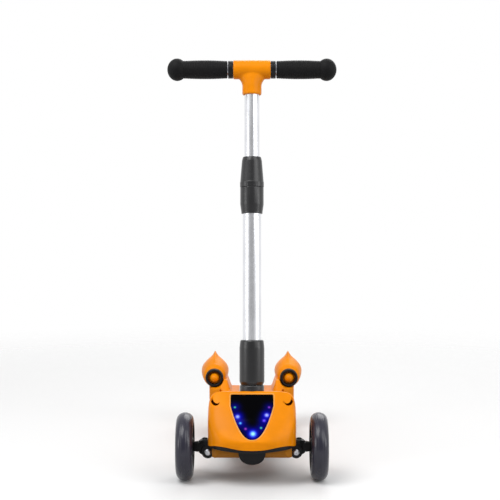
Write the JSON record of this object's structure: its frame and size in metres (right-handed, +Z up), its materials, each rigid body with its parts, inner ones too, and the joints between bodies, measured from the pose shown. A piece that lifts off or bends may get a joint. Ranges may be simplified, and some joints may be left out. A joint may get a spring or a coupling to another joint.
{
  "type": "three wheel kids scooter",
  "caption": "Children's lean-to-steer scooter with two front wheels, a rear wheel, a raked telescopic T column, a front shell with a lit visor and booster pods at the tail.",
  "frame": {"origin": "on the floor, below the middle of the scooter's length and width", "axes": "+Z up, -Y towards the front wheels, +X to the right of the view from the front"},
  "size_m": [0.309, 0.606, 0.7544],
  "materials": {
    "orange_plastic": "moulded, satin gloss",
    "black_plastic": "moulded, fine texture",
    "grey_plastic": "moulded, satin",
    "visor_plastic": "polished, smoked",
    "column_aluminium": "drawn tube, anodised",
    "bright_steel": "zinc plated",
    "dark_steel": "black powder coat",
    "wheel_urethane": "cast urethane, satin",
    "grip_rubber": "moulded, ribbed",
    "mat_rubber": "moulded, studded",
    "lamp_board": "lacquered board with coloured lamps"
  },
  "bodies": {
    "front_truck": {"axle_beam": "black_plastic", "front_tray": "orange_plastic", "torsion_bush": "grip_rubber", "kingpin_left": "bright_steel", "kingpin_right": "bright_steel", "pinch_screw_left": "bright_steel", "pinch_screw_right": "bright_steel"},
    "knuckle_left": {"knuckle_left": "black_plastic", "axle_bolt_left": "bright_steel"},
    "knuckle_right": {"knuckle_right": "black_plastic", "axle_bolt_right": "bright_steel"},
    "front_wheel_left": {"front_wheel_left_tyre": "wheel_urethane", "front_wheel_left_hub": "grey_plastic", "front_wheel_left_bearing_outer": "bright_steel", "front_wheel_left_bearing_inner": "bright_steel", "front_wheel_left_cap": "black_plastic"},
    "front_wheel_right": {"front_wheel_right_tyre": "wheel_urethane", "front_wheel_right_hub": "grey_plastic", "front_wheel_right_bearing_outer": "bright_steel", "front_wheel_right_bearing_inner": "bright_steel", "front_wheel_right_cap": "black_plastic"},
    "tie_rod": {"tie_rod": "dark_steel"},
    "chassis": {"lean_bracket": "dark_steel", "lean_bolt": "bright_steel", "deck": "orange_plastic", "deck_mat": "mat_rubber", "front_shell": "orange_plastic", "visor": "visor_plastic", "lamp_board": "lamp_board", "base_ring": "grey_plastic", "base_collar": "grey_plastic", "lower_tube": "column_aluminium", "clamp_body": "grey_plastic", "clamp_collet": "black_plastic", "booster_shell_left": "orange_plastic", "booster_shell_right": "orange_plastic", "intake_ring_left": "black_plastic", "intake_ring_right": "black_plastic", "exhaust_nozzle_left": "grey_plastic", "exhaust_nozzle_right": "grey_plastic", "booster_mount_left": "orange_plastic", "booster_mount_right": "orange_plastic", "rear_axle_bolt": "bright_steel", "fender_pin": "bright_steel", "battery_box": "grey_plastic", "battery_cover": "black_plastic"},
    "clamp_nut": {"clamp_nut": "grey_plastic"},
    "handlebar": {"upper_tube": "column_aluminium", "tee_joint": "orange_plastic", "bar_tube": "bright_steel", "bar_collar_left": "black_plastic", "bar_collar_right": "black_plastic", "grip_left": "grip_rubber", "grip_right": "grip_rubber"},
    "rear_wheel": {"rear_wheel_tyre": "wheel_urethane", "rear_wheel_hub": "grey_plastic", "rear_wheel_bearing": "bright_steel"},
    "brake_fender": {"brake_fender": "black_plastic"},
    "power_button": {"power_button": "black_plastic"},
    "column_release_button": {"column_release_button": "black_plastic"}
  },
  "joints": [
    {"name": "lean", "type": "hinge", "parent": "front_truck", "child": "chassis", "pos_m": [0, -0.23315, 0.06], "axis": [0, 1, 0], "range_deg": [-15, 15], "stiffness_Nm_per_rad": 30},
    {"name": "steer_left", "type": "hinge", "parent": "front_truck", "child": "knuckle_left", "pos_m": [-0.084, -0.23315, 0.06], "axis": [0, 0, 1], "range_deg": [-10.5, 10.5]},
    {"name": "steer_right", "type": "hinge", "parent": "front_truck", "child": "knuckle_right", "pos_m": [0.084, -0.23315, 0.06], "axis": [0, 0, 1], "range_deg": [-10.5, 10.5]},
    {"name": "tie_rod_slide", "type": "slide", "parent": "front_truck", "child": "tie_rod", "axis": [1, 0, 0], "range_m": [-0.0058, 0.0058]},
    {"name": "front_wheel_left_spin", "type": "hinge", "parent": "knuckle_left", "child": "front_wheel_left", "pos_m": [-0.119, -0.23315, 0.06], "axis": [1, 0, 0], "continuous": true},
    {"name": "front_wheel_right_spin", "type": "hinge", "parent": "knuckle_right", "child": "front_wheel_right", "pos_m": [0.119, -0.23315, 0.06], "axis": [1, 0, 0], "continuous": true},
    {"name": "rear_wheel_spin", "type": "hinge", "parent": "chassis", "child": "rear_wheel", "pos_m": [0, 0.20685, 0.05], "axis": [1, 0, 0], "continuous": true},
    {"name": "clamp_twist", "type": "hinge", "parent": "chassis", "child": "clamp_nut", "pos_m": [0, -0.17279, 0.51999], "axis": [0, 0.1045, 0.9945], "range_deg": [0, 90]},
    {"name": "column_height", "type": "slide", "parent": "chassis", "child": "handlebar", "axis": [0, 0.1045, 0.9945], "range_m": [-0.105, 0.03]},
    {"name": "brake_press", "type": "hinge", "parent": "chassis", "child": "brake_fender", "pos_m": [0, 0.14685, 0.097], "axis": [-1, 0, 0], "range_deg": [0, 4.2], "stiffness_Nm_per_rad": 1, "springref_deg": -11.46},
    {"name": "power_press", "type": "slide", "parent": "chassis", "child": "power_button", "axis": [0, 0, -1], "range_m": [0, 0.0025], "stiffness_N_per_m": 400, "springref_m": -0.001},
    {"name": "release_press", "type": "slide", "parent": "chassis", "child": "column_release_button", "axis": [0, -0.9945, 0.1045], "range_m": [0, 0.002], "stiffness_N_per_m": 600, "springref_m": -0.001}
  ],
  "couplings": [
    {"joint": "steer_left", "follows": "lean", "ratio": 0.6742},
    {"joint": "steer_right", "follows": "lean", "ratio": 0.6742},
    {"joint": "tie_rod_slide", "follows": "lean", "m_per_rad": -0.0209}
  ]
}
